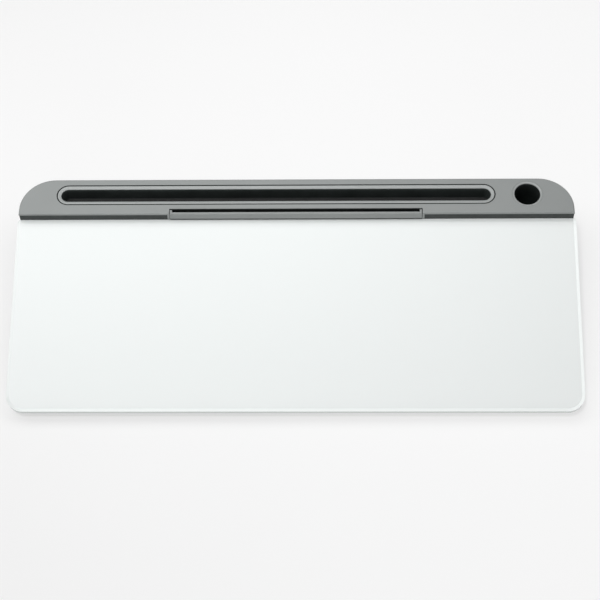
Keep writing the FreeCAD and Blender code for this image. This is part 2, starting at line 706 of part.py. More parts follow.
def build_deck():
    """Rail cover: a round-cornered cap, open at the front, with the slot openings in its top."""
    body = new_body("deck_cover_body")
    wall = "dims.deck_wall"
    half = DECK_HALF
    plan = [
        (f"-{half}", RAIL_FRONT),
        (half, RAIL_FRONT),
        (half, REAR, DECK_CORNER),
        (f"-{half}", REAR, DECK_CORNER),
    ]
    cap = pad(body, "deck_block", outline(body, "deck_plan", plan, level=SHELL_TOP), "dims.deck_skirt")
    rounded = dress(
        body,
        "Fillet",
        "deck_rounding",
        cap,
        lambda point: near(point.z, DECK_TOP),
        Radius="dims.deck_rounding",
    )
    front_edges = edges_where(cap, lambda point: near(point.z, DECK_TOP) and near(point.y, RAIL_FRONT))
    rounded.Base = (cap, [edge for edge in rounded.Base[1] if edge not in front_edges])

    ahead = f"{RAIL_FRONT} - dims.overrun"
    hollow = [
        (f"-({half} - {wall})", ahead),
        (f"{half} - {wall}", ahead),
        (f"{half} - {wall}", f"{REAR} - {wall}", f"{DECK_CORNER} - {wall}"),
        (f"-({half} - {wall})", f"{REAR} - {wall}", f"{DECK_CORNER} - {wall}"),
    ]
    sketch = outline(body, "deck_hollow_plan", hollow, level=SHELL_TOP)
    pocket(body, "deck_hollow", sketch, "dims.deck_skirt - dims.deck_plate", up=True)

    rebate = f"{RAIL_FRONT} + dims.seal_depth"
    under = f"({DECK_TOP} - dims.deck_plate)"
    past_side = f"({half} + {wall})"
    sketch = rectangle(body, "glass_gap_plan", f"-{past_side}", past_side, ahead, rebate, SHELL_TOP)
    pocket(body, "deck_glass_gap", sketch, "dims.deck_skirt - dims.rim_thickness", up=True)

    notch_out = f"({NOTCH_HALF} + dims.notch_wall)"
    notch_back = f"({RAIL_FRONT} + {NOTCH_DEPTH})"
    wall_back = f"{notch_back} + dims.notch_wall"
    wall_height = f"{DECK_TOP} - dims.rim_thickness - {FRONT_WALL_BOTTOM}"
    for side, share in SIDE_SHARES.items():
        left, right = side_span(share, NOTCH_HALF, f"{half} - {wall} / 2")
        back = f"{rebate} + dims.front_wall"
        sketch = rectangle(body, f"front_wall_{side}_plan", left, right, rebate, back, FRONT_WALL_BOTTOM)
        pad(body, f"deck_front_wall_{side}", sketch, wall_height)
        left, right = side_span(share, NOTCH_HALF, notch_out)
        plan = f"notch_end_{side}_plan"
        sketch = rectangle(body, plan, left, right, RAIL_FRONT, wall_back, FRONT_WALL_BOTTOM)
        pad(body, f"deck_notch_end_{side}", sketch, wall_height)
    level = f"{LIP_FLOOR_TOP} + dims.run_gap"
    sketch = rectangle(body, "notch_back_plan", f"-{notch_out}", notch_out, notch_back, wall_back, level)
    pad(body, "deck_notch_back", sketch, f"{under} + dims.rim_thickness / 2 - ({level})")
    sketch = rectangle(body, "notch_plan", f"-{NOTCH_HALF}", NOTCH_HALF, ahead, notch_back, DECK_TOP)
    pocket(body, "deck_notch", sketch, "dims.deck_plate")

    recess = "dims.trim_thickness + dims.flange_thickness"
    seam = "2 * (dims.trim_width + dims.seam_gap)"
    slot = stadium(
        body, "slot_recess_plan", f"({SLOT_LENGTH} + {seam})", f"(dims.slot_width + {seam})", DECK_TOP
    )
    pocket(body, "deck_slot_recess", slot, recess)
    play = "2 * dims.fit_gap"
    slot = stadium(body, "slot_plan", f"({LINER_LENGTH} + {play})", f"({LINER_WIDTH} + {play})", DECK_TOP)
    pocket(body, "deck_slot", slot, "dims.deck_plate")

    pen = [(PEN_PLACE, SLOT_LINE)]
    wide = "dims.pen_diameter / 2 + dims.pen_trim_width + dims.pen_seam"
    pocket(body, "deck_pen_recess", circles(body, "pen_recess_plan", pen, wide, DECK_TOP), recess)
    wide = "dims.pen_diameter / 2 + dims.pen_wall + dims.fit_gap"
    pocket(body, "deck_pen_hole", circles(body, "pen_hole_plan", pen, wide, DECK_TOP), "dims.deck_plate")

    places = [spot[:2] for spot in DECK_SCREWS]
    sketch = circles(body, "deck_bosses_plan", places, "dims.deck_boss / 2", SHELF_TOP)
    pad(body, "deck_bosses", sketch, f"{under} + dims.fit_gap - {SHELF_TOP}")
    return body


def build_seals():
    """Dark strips that close the gap between rail and glass on both sides of the lip."""
    inner = f"{NOTCH_HALF} + dims.notch_wall + dims.fit_gap"
    outer = f"{DECK_HALF} - dims.seal_setback"
    depth = "dims.seal_depth - dims.seal_setback - dims.fit_gap"
    height = f"{DECK_TOP} - dims.rim_thickness - {SEAL_BOTTOM} - dims.fit_gap"
    for side, share in SIDE_SHARES.items():
        left, right = side_span(share, inner, outer)
        start = f"{RAIL_FRONT} + dims.seal_setback"
        strip = box(f"seal_{side}", left, start, SEAL_BOTTOM, f"{right} - ({left})", depth, height)
        node(strip, f"glass_seal_{side}")


def build_phone_slot():
    """Trim ring, gasket, lining and soft mat of the long slot."""
    ring = node(new_body("slot_trim_body"), "slot_trim")
    outer = "2 * dims.trim_width"
    ring_size = (f"({SLOT_LENGTH} + {outer})", f"(dims.slot_width + {outer})")
    sketch = stadium(ring, "trim_outer", *ring_size, TRIM_BOTTOM)
    pad(ring, "trim_sheet", sketch, "dims.trim_thickness")
    sketch = stadium(ring, "trim_inner", SLOT_LENGTH, "dims.slot_width", DECK_TOP)
    hole = pocket(ring, "trim_hole", sketch, "dims.trim_thickness")
    slope = dress(ring, "Chamfer", "trim_slope", hole, on_slot_rim)
    slope.ChamferType = "Two distances"
    slope.FlipDirection = True
    bind(slope, Size="dims.trim_drop", Size2="dims.trim_slope")
    dress(ring, "Fillet", "trim_soft_edge", slope, on_trim_edge, Radius="dims.trim_rounding")

    gasket = node(new_body("slot_gasket_body"), "slot_gasket")
    seam = "2 * (dims.trim_width + dims.seam_gap)"
    deep = "dims.trim_thickness + dims.flange_thickness - dims.gasket_drop"
    seam_size = (f"({SLOT_LENGTH} + {seam})", f"(dims.slot_width + {seam})")
    sketch = stadium(gasket, "gasket_outer", *seam_size, LEDGE_TOP)
    pad(gasket, "gasket_sheet", sketch, deep)
    sketch = stadium(gasket, "gasket_inner", *ring_size, LEDGE_TOP)
    pocket(gasket, "gasket_hole", sketch, deep, up=True)

    floor = node(new_body("slot_floor_body"), "slot_floor")
    sketch = stadium(floor, "floor_plan", LINER_LENGTH, LINER_WIDTH, LINER_BOTTOM)
    pad(floor, "floor_sheet", sketch, "dims.liner_wall")
    build_slot_walls()

    mat = node(new_body("slot_mat_body"), "slot_mat")
    play = "2 * dims.mat_gap"
    floor = f"{DECK_TOP} - dims.slot_depth"
    sketch = stadium(mat, "mat_plan", f"({SLOT_LENGTH} - {play})", f"(dims.slot_width - {play})", floor)
    pad(mat, "mat_sheet", sketch, "dims.mat_thickness")


def build_slot_walls():
    """Two strips and two half-round ends that line the phone slot, each with a flange on the rail's ledge."""
    base = f"({LINER_BOTTOM} + dims.liner_wall)"
    height = f"{TRIM_BOTTOM} - {base}"
    half = f"({SLOT_LENGTH} - dims.slot_width) / 2"
    left = f"({SLOT_SHIFT} - {half})"
    length = f"{SLOT_LENGTH} - dims.slot_width"
    faces = {
        "front": (f"{SLOT_LINE} - {LINER_WIDTH} / 2", f"{SLOT_LINE} - {LINER_WIDTH} / 2 - dims.flange_width"),
        "rear": (f"{SLOT_LINE} + dims.slot_width / 2", f"{SLOT_LINE} + {LINER_WIDTH} / 2"),
    }
    flange_size = (length, "dims.flange_width", "dims.flange_thickness")
    for side, (wall_start, flange_start) in faces.items():
        wall = box(f"wall_{side}", left, wall_start, base, length, "dims.liner_wall", height)
        flange = box(f"wall_flange_{side}", left, flange_start, LEDGE_TOP, *flange_size)
        node(fuse(f"slot_wall_{side}_solid", [wall, flange]), f"slot_wall_{side}")

    reach = f"({LINER_WIDTH} / 2 + dims.flange_width)"
    for side, share in SIDE_SHARES.items():
        middle = f"{SLOT_SHIFT} + {share} * {half}"
        tube = cylinder(f"end_tube_{side}", middle, SLOT_LINE, base, f"{LINER_WIDTH} / 2", height)
        flange = cylinder(f"end_flange_{side}", middle, SLOT_LINE, LEDGE_TOP, reach, "dims.flange_thickness")
        bore = cylinder(f"end_bore_{side}", middle, SLOT_LINE, base, "dims.slot_width / 2", height)
        start, _ = side_span(-share, "0", reach)
        corner = (f"{middle} + {start}", f"{SLOT_LINE} - {reach}", base)
        away = box(f"end_away_{side}", *corner, reach, f"2 * {reach}", height)
        solid = fuse(f"slot_end_{side}_solid", [tube, flange])
        node(cut(f"slot_end_{side}_cut", solid, fuse(f"end_{side}_hollow", [bore, away])), f"slot_end_{side}")


def on_slot_rim(point):
    """Whether a point lies on the top of the phone slot's inner rim."""
    inside = abs(point.y - number(SLOT_LINE)) < number("dims.slot_width / 2 + dims.fit_gap")
    return inside and near(point.z, DECK_TOP)


def on_trim_edge(point):
    """Whether a point lies on the top of the trim ring's outer edge."""
    end = max(abs(point.x - number(SLOT_SHIFT)) - number(f"({SLOT_LENGTH} - dims.slot_width) / 2"), 0)
    away = math.hypot(end, point.y - number(SLOT_LINE))
    outside = abs(away - number("dims.slot_width / 2 + dims.trim_width")) < number("dims.fit_gap")
    return outside and near(point.z, DECK_TOP)


def build_pen_cup():
    """Trim ring, cup and floor pad of the pen hole."""
    spot = (PEN_PLACE, SLOT_LINE)
    bore = "dims.pen_diameter / 2"
    rim = f"({bore} + dims.pen_trim_width)"
    blank = cylinder("pen_ring_blank", *spot, TRIM_BOTTOM, rim, "dims.trim_thickness")
    hole = cylinder("pen_ring_hole", *spot, TRIM_BOTTOM, bore, "dims.trim_thickness")
    level = f"{DECK_TOP} - dims.pen_trim_drop"
    sink = cone("pen_ring_sink", *spot, level, bore, f"{rim} - dims.pen_trim_drop", "dims.pen_trim_drop")
    node(cut("pen_ring_cut", blank, fuse("pen_ring_opening", [hole, sink])), "pen_ring")

    floor = f"({DECK_TOP} - dims.pen_depth)"
    bottom = f"({floor} - dims.pen_floor)"
    tube = cylinder("cup_tube", *spot, bottom, f"{bore} + dims.pen_wall", f"{TRIM_BOTTOM} - {bottom}")
    flange = cylinder("cup_flange", *spot, LEDGE_TOP, rim, "dims.flange_thickness")
    inside = cylinder("cup_inside", *spot, floor, bore, f"{TRIM_BOTTOM} - {floor}")
    seat = f"{floor} - dims.mat_thickness"
    mat = f"{bore} - dims.pen_mat_inset"
    dip = cylinder("cup_dip", *spot, seat, f"{mat} + dims.mat_gap", "dims.mat_thickness")
    hollow = fuse("cup_hollow", [inside, dip])
    node(cut("pen_cup_cut", fuse("cup_solid", [tube, flange]), hollow), "pen_cup")
    node(cylinder("cup_pad", *spot, seat, mat, "dims.mat_thickness"), "pen_cup_mat")


def build_lip(holes):
    """Front lip of the note slot, the wiper under its face and the dark strip behind the notes."""
    body = new_body("slot_lip_body")
    inside = f"{LIP_FRONT} + dims.lip_thickness"
    wiper_back = f"{LIP_FRONT} + dims.wiper_depth"
    wiper_top = f"{LIP_FLOOR_BOTTOM} + dims.wiper_height"
    profile = [
        (wiper_back, LIP_FLOOR_BOTTOM),
        (LIP_WEB_FRONT, LIP_FLOOR_BOTTOM),
        (LIP_WEB_FRONT, LIP_WEB_BOTTOM),
        (LIP_WEB_REAR, LIP_WEB_BOTTOM),
        (LIP_WEB_REAR, LIP_FLOOR_TOP),
        (inside, LIP_FLOOR_TOP),
        (inside, DECK_TOP),
        (LIP_FRONT, DECK_TOP),
        (LIP_FRONT, wiper_top),
        (wiper_back, wiper_top),
    ]
    sketch = outline(body, "lip_profile", profile, role="YZ_Plane")
    bar = pad(body, "lip_bar", sketch, f"2 * {LIP_HALF}", midplane=True)
    strip_front = f"({RAIL_FRONT} + {NOTCH_DEPTH} - dims.note_strip)"
    for side, share in SIDE_SHARES.items():
        left, right = side_span(share, f"{LIP_HALF} - dims.lip_cheek", LIP_HALF)
        cheek_back = f"{strip_front} - dims.run_gap"
        sketch = rectangle(body, f"cheek_{side}_plan", left, right, inside, cheek_back, LIP_FLOOR_TOP)
        bar = pad(body, f"lip_cheek_{side}", sketch, "dims.note_depth")
    dress(
        body,
        "Fillet",
        "lip_rounding",
        bar,
        lambda point: near(point.z, DECK_TOP),
        Radius="dims.lip_rounding",
    )
    node(cut("slot_lip_cut", body, holes), "slot_lip")

    wiper = box(
        "lip_wiper_bar",
        f"-{LIP_HALF}",
        f"{LIP_FRONT} + dims.wiper_inset",
        LIP_FLOOR_BOTTOM,
        f"2 * {LIP_HALF}",
        "dims.wiper_depth - dims.wiper_inset",
        "dims.wiper_height",
    )
    node(wiper, "lip_wiper")
    strip = box(
        "note_strip_bar",
        f"-{NOTCH_HALF}",
        strip_front,
        f"{LIP_FLOOR_TOP} + dims.run_gap",
        f"2 * {NOTCH_HALF}",
        "dims.note_strip",
        "dims.note_depth - dims.run_gap - dims.note_strip_drop",
    )
    node(strip, "note_strip")


def build_slide(side, share, slider_holes, guide_holes):
    """One slider of the lip, and the guide on the shelf that it runs in, with its brake pad."""
    middle = f"{share} * {SLIDER_REACH}"
    arm = box(
        f"slider_arm_{side}",
        f"{middle} - dims.slider_width / 2",
        LIP_WEB_REAR,
        SLIDER_BOTTOM,
        "dims.slider_width",
        f"{SLIDER_REAR} - {LIP_WEB_REAR}",
        "dims.slider_thickness",
    )
    head = box(
        f"slider_head_{side}",
        f"{middle} - dims.slider_head_width / 2",
        SLIDER_HEAD_FRONT,
        SLIDER_BOTTOM,
        "dims.slider_head_width",
        "dims.slider_head_length",
        "dims.slider_thickness",
    )
    solid = fuse(f"slider_{side}_solid", [arm, head])
    node(cut(f"slider_{side}_cut", solid, slider_holes), f"lip_slider_{side}")

    tunnel_bottom = f"({SLIDER_BOTTOM} - dims.slide_gap)"
    tunnel_top = f"({SLIDER_TOP} + dims.slide_gap)"
    block = box(
        f"guide_block_{side}",
        f"{middle} - {GUIDE_OUTER_WIDTH} / 2",
        GUIDE_FRONT,
        SHELF_TOP,
        GUIDE_OUTER_WIDTH,
        "dims.guide_length",
        f"{tunnel_top} + dims.guide_wall - {SHELF_TOP}",
    )
    ears = box(
        f"guide_ears_{side}",
        f"{middle} - {GUIDE_OUTER_WIDTH} / 2 - dims.guide_ear",
        GUIDE_FRONT,
        SHELF_TOP,
        f"{GUIDE_OUTER_WIDTH} + 2 * dims.guide_ear",
        "dims.guide_length",
        "dims.guide_ear_thickness",
    )
    tunnel = box(
        f"guide_tunnel_{side}",
        f"{middle} - {GUIDE_INNER_WIDTH} / 2",
        GUIDE_FRONT,
        tunnel_bottom,
        GUIDE_INNER_WIDTH,
        "dims.guide_length",
        f"{tunnel_top} - {tunnel_bottom}",
    )
    pad_bottom = f"{tunnel_bottom} + dims.brake_proud - dims.brake_thickness"
    seat = box(
        f"brake_seat_{side}",
        f"{middle} - dims.brake_width / 2",
        f"{GUIDE_MIDDLE} - dims.brake_length / 2",
        pad_bottom,
        "dims.brake_width",
        "dims.brake_length",
        "dims.brake_thickness",
    )
    hollow = fuse(f"guide_{side}_hollow", [tunnel, seat, guide_holes])
    node(cut(f"guide_{side}_cut", fuse(f"guide_{side}_solid", [block, ears]), hollow), f"lip_guide_{side}")
    felt = box(
        f"brake_felt_{side}",
        f"{middle} - dims.brake_width / 2",
        f"{GUIDE_MIDDLE} - dims.brake_length / 2",
        pad_bottom,
        "dims.brake_width",
        "dims.brake_length",
        "dims.brake_thickness",
    )
    node(felt, f"brake_pad_{side}")


def check_and_export():
    """Checks every object and writes each piece as a STEP file."""
    doc.recompute()
    for thing in doc.Objects:
        if "Invalid" in thing.State or "Error" in thing.State:
            raise RuntimeError(f"{thing.Name} has state {thing.State}")
    os.makedirs("parts", exist_ok=True)
    for piece in nodes:
        if piece.Shape.isNull() or not piece.Shape.isValid():
            raise RuntimeError(f"{piece.Label} has no valid shape")
        piece.Shape.exportStep(f"parts/{piece.Label}.step")


SEAL_BOTTOM = f"({glass_level(GLASS_BACK)} + dims.fit_gap / 2)"
FRONT_WALL_BOTTOM = f"({DECK_TOP} - dims.deck_step + 2 * dims.run_gap)"
COVER_SCREWS_FRONT = [
    (f"{share} * {COVER_SCREW_REACH}", COVER_SCREW_FRONT, SHELL_BOTTOM) for share in COVER_SCREW_SHARES
]
COVER_SCREWS_REAR = [
    (f"{share} * {COVER_SCREW_REACH}", COVER_SCREW_REAR, SHELL_BOTTOM) for share in COVER_SCREW_SHARES
]
DECK_SCREWS = [
    (f"{share} * {DECK_SCREW_REACH}", DECK_SCREW_REAR, SHELF_BOTTOM) for share in DECK_REAR_SCREW_SHARES
] + [(f"{share} * {DECK_SCREW_REACH}", DECK_SCREW_FRONT, SHELF_BOTTOM) for share in SIDE_SHARES.values()]
GUIDE_SCREWS = [
    (
        f"{share} * {SLIDER_REACH} {sign} ({GUIDE_OUTER_WIDTH} + dims.guide_ear) / 2",
        GUIDE_MIDDLE,
        f"{SHELF_TOP} + dims.guide_ear_thickness",
    )
    for share in SIDE_SHARES.values()
    for sign in "-+"
]
SLIDER_SCREWS = [
    (
        f"{share} * {SLIDER_REACH} {sign} dims.slider_screw_pitch / 2",
        LIP_WEB_FRONT,
        f"({SLIDER_BOTTOM} + {SLIDER_TOP}) / 2",
    )
    for share in SIDE_SHARES.values()
    for sign in "-+"
]

fill_sheet()
cover_holes = screw_row("cover_screw", "screw", COVER_SCREWS_FRONT + COVER_SCREWS_REAR, "up")
deck_holes = screw_row("deck_screw", "screw", DECK_SCREWS, "up")
guide_holes = screw_row("guide_screw", "small_screw", GUIDE_SCREWS, "down")
slider_holes = screw_row("slider_screw", "small_screw", SLIDER_SCREWS, "rear")

shell_holes = fuse("shell_holes", [cover_holes, deck_holes, guide_holes])
node(cut("base_shell_cut", build_base_shell(), shell_holes), "base_shell")
node(cut("bottom_cover_cut", build_bottom_cover(), cover_holes), "bottom_cover")
node(cut("deck_cover_cut", build_deck(), deck_holes), "deck_cover")
build_glass()
build_seals()
build_phone_slot()
build_pen_cup()
build_lip(slider_holes)
for side_name, side_share in SIDE_SHARES.items():
    build_slide(side_name, side_share, slider_holes, guide_holes)
check_and_export()
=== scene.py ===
"""A sloped glass desk board with a grey rear rail: its finishes, soft pads, feet and studio."""

import math

import bmesh
import bpy
from bpy.props import FloatProperty, FloatVectorProperty, IntProperty, PointerProperty
from mathutils import Matrix, Vector


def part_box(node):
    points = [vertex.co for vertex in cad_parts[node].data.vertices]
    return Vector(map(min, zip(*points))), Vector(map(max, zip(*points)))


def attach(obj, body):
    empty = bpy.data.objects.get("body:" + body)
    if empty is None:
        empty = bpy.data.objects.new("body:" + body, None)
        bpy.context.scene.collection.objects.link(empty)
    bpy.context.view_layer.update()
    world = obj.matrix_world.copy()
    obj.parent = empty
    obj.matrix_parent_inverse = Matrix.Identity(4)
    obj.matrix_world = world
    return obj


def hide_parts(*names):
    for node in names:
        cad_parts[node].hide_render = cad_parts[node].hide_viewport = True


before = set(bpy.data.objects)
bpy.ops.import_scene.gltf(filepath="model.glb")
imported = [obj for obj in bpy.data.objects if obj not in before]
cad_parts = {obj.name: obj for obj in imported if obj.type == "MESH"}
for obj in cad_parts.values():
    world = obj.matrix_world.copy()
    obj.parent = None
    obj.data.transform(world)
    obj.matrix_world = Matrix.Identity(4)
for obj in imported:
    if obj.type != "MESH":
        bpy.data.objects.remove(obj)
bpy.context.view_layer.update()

bl_info = {
    "name": "Desk Board",
    "version": (1, 0, 0),
    "blender": (4, 5, 0),
    "location": "View3D > Sidebar > Desk Board",
    "description": "Dresses a sloped glass desk board with a pen hole, a phone slot and a sliding note lip",
    "category": "Object",
}

BASE_BODY = "base"

GLASS_TILT = math.radians(10)
GLASS_UP = (0.0, -math.sin(GLASS_TILT), math.cos(GLASS_TILT))
GLASS_INDEX = 1.52
# Where the glass changes finish, by how nearly its surface faces along the glass's upward direction.
EDGE_END = 0.20
BEVEL_START = 0.50
BEVEL_END = 0.94
FACE_START = 0.99
# Painted highlight and painted glow: the bevel is painted lighter than the face and glows, and this lean
# makes the right bevel brighter than the left one.
BEVEL_HIGHLIGHT_LEAN = 0.1
# The bevel's colour is the face's colour made lighter: a painted highlight.
BEVEL_PAINTED_HIGHLIGHT = 1.32
EDGE_SHADE = 1.10

# Painted shade: the lip is made a little darker than the rail, for the shade on its forward-facing face.
LIP_PAINTED_SHADE = 0.97
# Painted shade: the rubber strips in the note slot and in the phone slot's seam are made far darker than the
# lining, to stand in for the shade in these gaps.
SEAM_PAINTED_SHADE = 0.2
# Painted shade: the pen cup is the slot's black lining made darker, for the shade inside the deep hole.
CUP_PAINTED_SHADE = 0.5
COVER_SHADE = 0.9

WELD_REACH = 1e-6
SHARP_ANGLE = math.radians(32)
MAT_SEGMENTS = 48
PAD_SEGMENTS = 64
# One rib from the outside in: steps as shares of the rib pitch, each with its rise in rib heights.
RIB_STEPS = ((0.28, 0), (0.16, -1), (0.40, 0), (0.16, 1))
FOOT_STEPS = 48
FOOT_RIM_SHARE = 0.66
FOOT_DISH_SHARE = 0.58
FOOT_ROUNDING_SEGMENTS = 4
FOOT_RIM_REACH = 1e-5

# The camera's place and axes in the board's frame, fitted to the board's edges in the photograph.
CAMERA_PLACE = (0.036711, -0.702282, 1.177474)
CAMERA_RIGHT = (0.99969, 0.01094, -0.02220)
CAMERA_UP = (0.00214, 0.85550, 0.51780)
CAMERA_LENS = 109.373
CAMERA_SENSOR = 36.0
CAMERA_NEAR = 0.05
CAMERA_FAR = 20.0
# The floor lies a hair under the feet, so that the two never share a plane.
FLOOR_DROP = 0.0001
FLOOR_HALF = 6.0
FLOOR_PARTS = 4
FLOOR_LEAN_REACH = 0.3

FOOT_ROWS = ("front", "rear")
FOOT_PLACES = ("left", "middle", "right")
FOOT_NODES = tuple(f"foot_{row}_{place}" for row in FOOT_ROWS for place in FOOT_PLACES)


def colour_property(name, description, default):
    """A colour that the user may change, as linear red, green and blue."""
    return FloatVectorProperty(
        name=name, description=description, default=default, subtype="COLOR", size=3, min=0.0, max=1.0
    )


def length_property(name, description, default):
    """A length in metres that the user may change."""
    return FloatProperty(
        name=name,
        description=description,
        default=default,
        min=0.0,
        precision=5,
        subtype="DISTANCE",
        unit="LENGTH",
    )


def count_property(name, description, default):
    """A small count that the user may change."""
    return IntProperty(name=name, description=description, default=default, min=1, max=12)


def strength_property(name, description, default):
    """A plain strength that the user may change."""
    return FloatProperty(name=name, description=description, default=default, min=0.0)


def power_property(name, description, default):
    """A light's power in watts that the user may change."""
    return FloatProperty(name=name, description=description, default=default, min=0.0, unit="POWER")


def place_property(name, description, default):
    """A place in metres that the user may change."""
    return FloatVectorProperty(
        name=name, description=description, default=default, subtype="TRANSLATION", unit="LENGTH", size=3
    )


class BOARD_PG_colours(bpy.types.PropertyGroup):
    """Colours of the board's mouldings, rubbers and glass."""

    glass_face: colour_property("Glass face", "White of the coated glass", (0.703, 0.729, 0.723))
    # Painted light: the glass's bevel glows in this colour, though it is no lamp.
    bevel_painted_glow: colour_property("Bevel glow", "Light that leaves the bevel", (0.125, 0.130, 0.129))
    glass_edge: colour_property("Glass edge", "Grey-green of the ground glass edge", (0.44, 0.475, 0.46))
    coating: colour_property("Coating", "White coating under the glass", (0.84, 0.84, 0.83))
    rail: colour_property("Rail", "Grey of the rail and the lip", (0.252, 0.265, 0.2615))
    trim: colour_property("Trim", "Lighter grey of the slot and pen hole trim", (0.322, 0.338, 0.334))
    base: colour_property("Base", "Grey of the base and its cover", (0.175, 0.180, 0.176))
    lining: colour_property("Lining", "Black of the slot lining and the pen cup", (0.046, 0.056, 0.0535))
    rubber: colour_property("Rubber", "Black of the soft pads and the feet", (0.032, 0.033, 0.033))
    # The strips behind the glass and the lip's wiper are rubber, coloured this dark as painted shade under
    # the rail's front edge and the lip.
    seal_and_shade: colour_property("Seal", "Dark grey of the strip behind the glass", (0.047, 0.052, 0.051))


class BOARD_PG_sizes(bpy.types.PropertyGroup):
    """Sizes of the soft pads and the feet."""

    mat_rib: length_property("Mat rib height", "Height of the ribs on the slot's mat", 0.0004)
    mat_rib_count: count_property("Mat ribs", "Ribs that run round the slot's mat", 4)
    pad_ring: length_property("Pad ring height", "Height of the rings on the pen cup's pad", 0.0004)
    pad_ring_count: count_property("Pad rings", "Rings on the pen cup's pad", 4)
    foot_rounding: length_property("Foot rounding", "Rounding of a foot's lower edge", 0.0006)
    foot_dish: length_property("Foot dish", "Depth of the hollow under a foot", 0.0005)


class BOARD_PG_studio(bpy.types.PropertyGroup):
    """Floor and light of the studio."""

    floor: colour_property("Floor", "Pale floor", (0.36, 0.36, 0.36))
    floor_glow: strength_property("Floor glow", "Light that the floor gives itself", 0.555)
    floor_lean: strength_property("Floor lean", "Extra floor glow at the right, and less at the left", 0.05)
    fill: strength_property("Fill", "Even light from all round", 0.22)
    top_strength: strength_property("Top light", "Strength of the far light", 1.1)
    top_spread: FloatProperty(
        name="Top spread", description="How wide the far light looks", default=0.17, min=0.0, subtype="ANGLE"
    )
    top_place: FloatVectorProperty(
        name="Top place",
        description="Direction that the far light shines from",
        default=(-0.20, -0.16, 1.0),
        subtype="XYZ",
        size=3,
    )
    key_power: power_property("Key light", "Power of the long soft light over the rail", 2.3)
    key_width: length_property("Light width", "Width of the two long soft lights", 1.1)
    key_depth: length_property("Light depth", "Depth of the two long soft lights", 0.36)
    key_place: place_property("Key place", "Where the light over the rail hangs", (-0.26, 0.15, 0.44))
    front_power: power_property("Front light", "Power of the long soft light in front", 3.7)
    front_place: place_property("Front place", "Where the light in front stands", (0.0, -0.90, 0.22))


class FinishNodes:
    """A material's node tree, with the few node patterns that the board's finishes share."""

    def __init__(self, name, roughness, specular=0.5):
        self.material = bpy.data.materials.new(name)
        self.material.use_nodes = True
        self.tree = self.material.node_tree
        self.shader = self.tree.nodes["Principled BSDF"]
        self.shader.inputs["Roughness"].default_value = roughness
        self.shader.inputs["Specular IOR Level"].default_value = specular
        self.place = self.tree.nodes.new("ShaderNodeTexCoord")

    def link(self, source, target):
        self.tree.links.new(source, target)

    def mapped(self, scale=(1.0, 1.0, 1.0)):
        """Object coordinates, stretched."""
        mapping = self.tree.nodes.new("ShaderNodeMapping")
        mapping.inputs["Scale"].default_value = scale
        self.link(self.place.outputs["Object"], mapping.inputs["Vector"])
        return mapping.outputs["Vector"]

    def noise(self, scale, detail=2.0, roughness=0.5, vector=None):
        """Soft random tone, in patches of about one over the scale, in metres."""
        node = self.tree.nodes.new("ShaderNodeTexNoise")
        node.inputs["Scale"].default_value = scale
        node.inputs["Detail"].default_value = detail
        node.inputs["Roughness"].default_value = roughness
        self.link(vector or self.mapped(), node.inputs["Vector"])
        return node.outputs["Fac"]

    def cells(self, scale, feature="F1"):
        """Distance to the middle or the wall of random cells."""
        node = self.tree.nodes.new("ShaderNodeTexVoronoi")
        node.feature = feature
        node.inputs["Scale"].default_value = scale
        self.link(self.mapped(), node.inputs["Vector"])
        return node.outputs["Distance"]

    def ramp(self, value, stops):
        """Colours that follow a value, from (place, colour) stops."""
        node = self.tree.nodes.new("ShaderNodeValToRGB")
        band = node.color_ramp.elements
        while len(band) < len(stops):
            band.new(0.5)
        for element, (place, colour) in zip(band, stops):
            element.position = place
            element.color = (*colour, 1.0)
        self.link(value, node.inputs["Fac"])
        return node.outputs["Color"]

    def spread(self, value, low, high, start=0.3, stop=0.7):
        """A value stretched from its usual range to another."""
        node = self.tree.nodes.new("ShaderNodeMapRange")
        node.inputs["From Min"].default_value = start
        node.inputs["From Max"].default_value = stop
        node.inputs["To Min"].default_value = low
        node.inputs["To Max"].default_value = high
        self.link(value, node.inputs["Value"])
        return node.outputs["Result"]

    def paint(self, colour):
        self.link(colour, self.shader.inputs["Base Color"])

    def gloss(self, roughness):
        self.link(roughness, self.shader.inputs["Roughness"])

    def bumps(self, *layers):
        """Surface relief from (height, depth in metres, strength) layers, coarse to fine."""
        normal = None
        for height, depth, strength in layers:
            node = self.tree.nodes.new("ShaderNodeBump")
            node.inputs["Distance"].default_value = depth
            node.inputs["Strength"].default_value = strength
            self.link(height, node.inputs["Height"])
            if normal:
                self.link(normal, node.inputs["Normal"])
            normal = node.outputs["Normal"]
        self.link(normal, self.shader.inputs["Normal"])


def shade(colour, share):
    """A colour made darker or lighter by a share."""
    return tuple(min(channel * share, 1.0) for channel in colour)


def moulded_grey(name, colour, texture_scale=1900.0, roughness=(0.40, 0.54)):
    """Satin moulded plastic: fine spark-etched texture, slight tone drift and polished patches."""
    finish = FinishNodes(name, sum(roughness) / 2, specular=0.45)
    tone = [(0.25, shade(colour, 0.965)), (0.75, shade(colour, 1.03))]
    finish.paint(finish.ramp(finish.noise(22.0, detail=3.0), tone))
    finish.gloss(finish.spread(finish.noise(130.0, detail=4.0), *roughness))
    finish.bumps((finish.noise(45.0, detail=1.0), 0.0002, 0.05), (finish.noise(texture_scale), 0.00006, 0.22))
    return finish.material


def trim_grey(name, colour):
    """The slot trim's and pen ring's plastic: finer in texture and shinier than the rail's."""
    return moulded_grey(name, colour, texture_scale=2300.0, roughness=(0.34, 0.46))


def moulded_black(name, colour):
    """Matt black lining: an even leather-like grain."""
    finish = FinishNodes(name, 0.5, specular=0.35)
    tone = [(0.3, shade(colour, 0.85)), (0.7, shade(colour, 1.25))]
    finish.paint(finish.ramp(finish.noise(60.0), tone))
    finish.gloss(finish.spread(finish.noise(300.0, detail=3.0), 0.46, 0.62))
    finish.bumps((finish.cells(1400.0), 0.00008, 0.3))
    return finish.material


